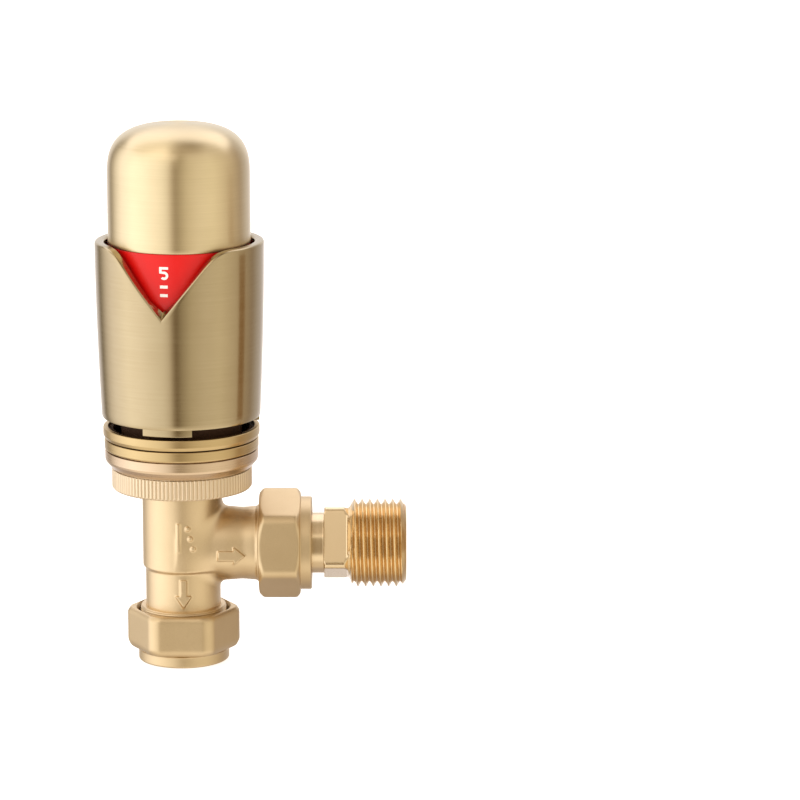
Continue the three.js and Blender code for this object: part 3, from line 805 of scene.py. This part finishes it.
def surface_nets(field, low, step):
    """Vertices and quads of the zero surface of a field sampled on a grid."""
    inside = field < 0
    cells = tuple(n - 1 for n in field.shape)
    total = np.zeros(cells + (3,))
    count = np.zeros(cells)

    def window(corner):
        """The samples at one corner of every cell."""
        return tuple(slice(c, c + n) for c, n in zip(corner, cells))

    for axis in range(3):
        others = [a for a in range(3) if a != axis]
        for first in (0, 1):
            for second in (0, 1):
                start = [0, 0, 0]
                start[others[0]], start[others[1]] = first, second
                stop = list(start)
                stop[axis] = 1
                f0, f1 = field[window(start)], field[window(stop)]
                hit = inside[window(start)] != inside[window(stop)]
                where = np.where(hit, f0 / np.where(hit, f0 - f1, 1), 0)
                for a in range(3):
                    total[..., a] += np.where(hit, where if a == axis else start[a], 0)
                count += hit
    active = count > 0
    number = np.full(cells, -1)
    number[active] = np.arange(active.sum())
    vertices = low + step * (np.argwhere(active) + total[active] / count[active][:, None])
    faces = []
    for axis in range(3):
        b, c = [a for a in range(3) if a != axis]
        ahead = [slice(None)] * 3
        ahead[axis] = slice(1, None)
        behind = [slice(None)] * 3
        behind[axis] = slice(None, -1)
        change = np.argwhere(inside[tuple(behind)] != inside[tuple(ahead)])
        change = change[(change[:, b] > 0) & (change[:, c] > 0)]
        change = change[(change[:, b] < cells[b]) & (change[:, c] < cells[c])]
        ring = []
        for db, dc in ((0, 0), (1, 0), (1, 1), (0, 1)):
            cell = change.copy()
            cell[:, b] -= db
            cell[:, c] -= dc
            ring.append(number[tuple(cell.T)])
        faces.append(np.stack(ring, axis=1))
    return vertices, np.concatenate(faces)


def settled(points, formula, reach):
    """Moves points onto a formula's zero surface by Newton steps."""
    points = points.copy()
    eps = 0.02
    for _ in range(4):
        value = formula(*points.T)
        slopes = [
            (formula(*(points + eps * axis).T) - formula(*(points - eps * axis).T)) / (2 * eps)
            for axis in np.eye(3)
        ]
        gradient = np.stack(slopes, axis=1)
        length = np.maximum((gradient**2).sum(axis=1), 0.05)
        move = -value[:, None] * gradient / length[:, None]
        size = np.linalg.norm(move, axis=1)[:, None]
        points += move * np.minimum(1, reach / np.maximum(size, 1e-9))
    return points


def make_body():
    """The casting, with its inlet thread and its collar for the head."""
    step = 0.26
    low, high = np.array((-10.4, -10.4, 11.8)), np.array((19.0, 10.4, 43.6))  # of the grid
    axes = [np.arange(a, b, step) for a, b in zip(low, high)]
    grid = np.meshgrid(*axes, indexing="ij")
    vertices, faces = surface_nets(body_field(*grid), low, step)
    vertices = settled(vertices, body_field, step / 2)
    casting = mesh_object("casting", vertices, faces.tolist(), MATTE_BRASS, 50)

    pitch = 0.68
    bottom, crest, root = BODY_LOW[2], 10.2, 9.7
    thread = [(9.5, bottom, 0.1), (9.75, bottom, 0.1)]
    for z in np.arange(bottom + 0.25, INLET_TOP - pitch, pitch):
        thread += [(crest, z + 0.24, 0.04), (root, z + 0.58, 0.04)]
    thread += [(10.1, INLET_TOP - 0.2, 0.1), (9.8, INLET_TOP, 0.1), (8.6, INLET_TOP, 0)]
    thread += [(7.7, INLET_TOP - 0.3, 0), (SOCKET_R, 10.0, 0)]
    inlet = revolve("inlet", rounded(thread, 2), MATTE_BRASS, 160)

    top, outer = BODY_HIGH[2], 14.7
    collar = revolve("collar", rounded([
        (INSERT_R, 42.4, 0), (outer - 0.3, 42.6, 0), (outer, 42.9, 0), (outer, top - 0.3, 0.1),
        (outer - 0.3, top, 0.1), (INSERT_R, top, 0.2),
    ]), MATTE_BRASS, 128)
    return combine("body_casting", [casting, inlet, collar])


# ---------------------------------------------------------------- assembly
def stand_for(piece, body, slot, *nodes):
    """The piece rides on a body and stands for CAD nodes; slot is not used."""
    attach(piece, body)
    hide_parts(*nodes)


stand_for(make_dome(), "handwheel", "brushed_brass", "handwheel_cap")
stand_for(make_skirt(), "handwheel", "red_plastic", "indicator_skirt")
stand_for(make_dial_mark(), "handwheel", "white_print", "setting_mark")
stand_for(make_sleeve(), "root", "sleeve_brass", "sleeve")
LOWER_RING = make_limit_ring("limit_ring_below", LOWER_LOW, LOWER_HIGH, 0.3)
UPPER_RING = make_limit_ring("limit_ring_above", UPPER_LOW, UPPER_HIGH, 0.8)
stand_for(LOWER_RING, "root", "brushed_brass", "lower_limit_ring")
stand_for(UPPER_RING, "root", "brushed_brass", "upper_limit_ring")
stand_for(make_head_base(), "root", "matte_brass", "head_base")
# painted shade: a dark block in the groove between the cage and the limit rings
stand_for(make_painted_shade_in_groove(), "root", "matte_brass", "head_base")
stand_for(make_ring_nut(), "ring_nut", "matte_brass", "ring_nut")
stand_for(make_inlet_nut(), "compression_nut", "satin_brass", "compression_nut")
stand_for(make_union_nut(), "union_nut", "satin_brass", "union_nut")
stand_for(make_tail_shank(), "root", "thread_brass", "tailpiece")
stand_for(make_tail_thread(), "root", "thread_brass", "tailpiece")
stand_for(make_body(), "root", "matte_brass", "valve_body")

INNER_FINISHES = {
    "olive": RAW_BRASS,
    "tail_seal": RUBBER,
    "valve_insert": RAW_BRASS,
    "insert_o_ring": RUBBER,
    "guide_bush": PALE_PLASTIC,
    "gland_nut": RAW_BRASS,
    "gland_o_ring": RUBBER,
    "valve_pin": STEEL,
    "return_spring": STEEL,
    "pin_clip": STEEL,
    "disc_holder": RAW_BRASS,
    "disc_washer": RUBBER,
    "ring_nut_clip": STEEL,
    "inner_cage": BLACK_PLASTIC_AND_SHADE,
    "handwheel_liner": BLACK_PLASTIC_AND_SHADE,
    "sensor_carrier": PALE_PLASTIC,
    "sensor_capsule": STEEL,
    "bellows": RAW_BRASS,
    "push_rod": PALE_PLASTIC,
    "spring_washer": STEEL,
    "overtravel_spring": STEEL,
    "spring_plug": PALE_PLASTIC,
}
for node, finish in INNER_FINISHES.items():
    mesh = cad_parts[node].data
    mesh.materials.clear()
    mesh.materials.append(finish)


# ---------------------------------------------------------------- studio
CAMERA_AIM = (51.46, 0.0, 62.56)
CAMERA_DISTANCE = 917.3
CAMERA_PITCH = math.radians(12.1)


def make_camera():
    """Long lens in front of the object, looking slightly down along +Y."""
    data = bpy.data.cameras.new("camera")
    data.lens = 175.5
    data.sensor_width = 36
    data.clip_start, data.clip_end = 0.01, 50
    camera = bpy.data.objects.new("camera", data)
    x, y, z = CAMERA_AIM
    camera.location = (
        x * MM,
        (y - CAMERA_DISTANCE * math.cos(CAMERA_PITCH)) * MM,
        (z + CAMERA_DISTANCE * math.sin(CAMERA_PITCH)) * MM,
    )
    camera.rotation_euler = (math.pi / 2 - CAMERA_PITCH, 0, 0)
    bpy.context.scene.collection.objects.link(camera)
    bpy.context.scene.camera = camera


def make_floor():
    """Pale floor under the valve, which the metal doesn't mirror."""
    just_below = NUT_LOW[2] * MM - 0.0002
    bpy.ops.mesh.primitive_plane_add(size=8, location=(0, 0, just_below))
    floor = bpy.context.object
    floor.name = "floor"
    floor.visible_glossy = False
    paint = bpy.data.materials.new("pale_floor")
    paint.use_nodes = True
    shader = paint.node_tree.nodes["Principled BSDF"]
    shader.inputs["Base Color"].default_value = (0.92, 0.92, 0.92, 1)
    shader.inputs["Roughness"].default_value = 0.9
    shader.inputs["Specular IOR Level"].default_value = 0.0
    shader.inputs["Emission Color"].default_value = (1, 1, 1, 1)
    shader.inputs["Emission Strength"].default_value = 0.7
    floor.data.materials.append(paint)


def make_flag():
    """Low dark card to the right, seen only as the brown stripe that it leaves on the gloss."""
    x, near, far, bottom, top = 0.17, -0.008, 0.026, 0.001, 0.078  # metres
    mesh = bpy.data.meshes.new("flag")
    corners = [(x, near, bottom), (x, far, bottom), (x, far, top), (x, near, top)]
    mesh.from_pydata(corners, [], [(0, 1, 2, 3)])
    flag = bpy.data.objects.new("flag", mesh)
    bpy.context.scene.collection.objects.link(flag)
    flag.visible_camera = False
    flag.visible_diffuse = False
    flag.visible_shadow = False
    cloth = bpy.data.materials.new("flag_cloth")
    cloth.use_nodes = True
    shader = cloth.node_tree.nodes["Principled BSDF"]
    shader.inputs["Base Color"].default_value = (0.03, 0.015, 0.005, 1)
    shader.inputs["Emission Color"].default_value = (0.3, 0.17, 0.06, 1)
    shader.inputs["Emission Strength"].default_value = 1.0
    mesh.materials.append(cloth)


# Studio light round the horizon: degrees from the camera side, positive to the right, then
# how bright it is in red, green and blue.
HORIZON = (
    (-180, (1.0, 0.98, 1.0)), (-166, (0.85, 0.82, 0.84)), (-156, (0.6, 0.57, 0.58)),
    (-147, (0.5, 0.47, 0.46)), (-137, (0.2, 0.17, 0.13)), (-128, (0.42, 0.38, 0.33)),
    (-118, (0.7, 0.66, 0.62)), (-104, (0.94, 0.91, 0.91)), (-76, (1.15, 1.12, 1.08)),
    (-55, (1.06, 1.02, 0.97)), (-36, (0.92, 0.88, 0.81)), (-22, (0.82, 0.78, 0.7)),
    (-13, (0.66, 0.6, 0.52)), (-8, (0.36, 0.3, 0.22)), (-3, (0.15, 0.1, 0.05)),
    (4, (0.32, 0.27, 0.19)), (18, (0.53, 0.47, 0.36)), (36, (0.63, 0.57, 0.46)),
    (60, (0.68, 0.62, 0.49)), (80, (0.57, 0.5, 0.39)), (100, (0.46, 0.39, 0.3)),
    (120, (0.31, 0.25, 0.2)), (136, (0.42, 0.39, 0.38)), (156, (0.52, 0.49, 0.5)),
    (180, (1.0, 0.98, 1.0)),
)
BRIGHTEST = 1.3  # colour sockets hold shares of this
STUDIO_GAIN = 1.5


def share(*levels):
    """A light's colour as a share of the brightest."""
    return tuple(level / BRIGHTEST for level in levels) + (1,)


FRONT_SKY = share(1.08, 0.98, 0.85)
FRONT_LINE = share(0.32, 0.26, 0.18)
FRONT_RIGHT = share(0.7, 0.63, 0.53)
FRONT_HIGH = share(0.4, 0.33, 0.25)
GAP_LEFT = share(0.74, 0.67, 0.56)
GAP_DARK = share(0.2, 0.15, 0.09)
GAP_RIGHT = share(0.5, 0.44, 0.36)
BACK_SKY = share(1.06, 1.01, 1.02)
BACK_LOW = share(0.66, 0.64, 0.64)
TABLE = share(0.84, 0.77, 0.66)
UNDER_FRONT = share(0.56, 0.48, 0.38)
UNDER_BACK = share(0.36, 0.31, 0.28)


def studio_light(tree):
    """The colour that the metal sees in each direction."""
    place = tree.nodes.new("ShaderNodeTexCoord")
    split = tree.nodes.new("ShaderNodeSeparateXYZ")
    tree.links.new(place.outputs["Generated"], split.inputs["Vector"])

    def faded(axis, start, end, inner, outer):
        """The inner colour, turning to the outer as a direction's axis goes from start to end."""
        fade = add_node(tree, "ShaderNodeMapRange", From_Min=start, From_Max=end)
        fade.interpolation_type = "SMOOTHSTEP"
        tree.links.new(split.outputs[axis], fade.inputs["Value"])
        return mixed(tree, fade.outputs["Result"], inner, outer)

    # tall panels round the horizon
    forward = calculate(tree, "MULTIPLY", split.outputs["Y"], -1.0)
    azimuth = calculate(tree, "ARCTAN2", split.outputs["X"], forward)
    turn = calculate(tree, "ADD", calculate(tree, "DIVIDE", azimuth, TAU), 0.5)
    ramp = tree.nodes.new("ShaderNodeValToRGB")
    elements = ramp.color_ramp.elements
    elements[0].color = share(*HORIZON[0][1])
    elements[-1].color = share(*HORIZON[-1][1])
    for degrees, levels in HORIZON[1:-1]:
        elements.new(degrees / 360 + 0.5).color = share(*levels)
    tree.links.new(turn, ramp.inputs["Fac"])
    panels = ramp.outputs["Color"]
    low_back = faded("Y", 0.75, 0.93, panels, BACK_LOW)
    panels_and_back = faded("Z", -0.05, 0.08, panels, low_back)

    # sky, from the camera side to the back, with a dark line and a dark gap across it
    front = faded("X", 0.1, 0.3, faded("X", -0.03, 0.05, FRONT_SKY, FRONT_LINE), FRONT_RIGHT)
    high = faded("X", -0.3, -0.06, FRONT_SKY, FRONT_HIGH)
    front = faded("Z", 0.62, 0.76, front, high)
    gap = faded("X", 0.3, 0.6, faded("X", -0.25, 0.12, GAP_LEFT, GAP_DARK), GAP_RIGHT)
    sky = faded("Y", 0.13, 0.3, faded("Y", -0.5, -0.1, front, gap), BACK_SKY)

    # table top, darker underneath and behind
    ground = faded("Z", -0.82, -0.93, TABLE, UNDER_FRONT)
    ground = faded("Y", -0.1, 0.3, ground, UNDER_BACK)
    return faded("Z", -0.42, -0.66, faded("Z", 0.48, 0.61, panels_and_back, sky), ground)


def make_studio():
    """White surroundings; metal sees tall soft panels with dark gaps between them."""
    world = bpy.data.worlds.new("studio")
    bpy.context.scene.world = world
    world.use_nodes = True
    tree = world.node_tree
    tree.nodes.clear()
    panels = add_node(tree, "ShaderNodeBackground", Strength=BRIGHTEST * STUDIO_GAIN)
    tree.links.new(studio_light(tree), panels.inputs["Color"])
    backdrop = add_node(tree, "ShaderNodeBackground", Color=(1, 1, 1, 1), Strength=1.0)
    path = tree.nodes.new("ShaderNodeLightPath")
    choose = tree.nodes.new("ShaderNodeMixShader")
    tree.links.new(path.outputs["Is Camera Ray"], choose.inputs["Fac"])
    tree.links.new(panels.outputs["Background"], choose.inputs[1])
    tree.links.new(backdrop.outputs["Background"], choose.inputs[2])
    output = tree.nodes.new("ShaderNodeOutputWorld")
    tree.links.new(choose.outputs["Shader"], output.inputs["Surface"])


make_camera()
make_floor()
make_flag()
make_studio()
bpy.context.scene.view_settings.view_transform = "Standard"
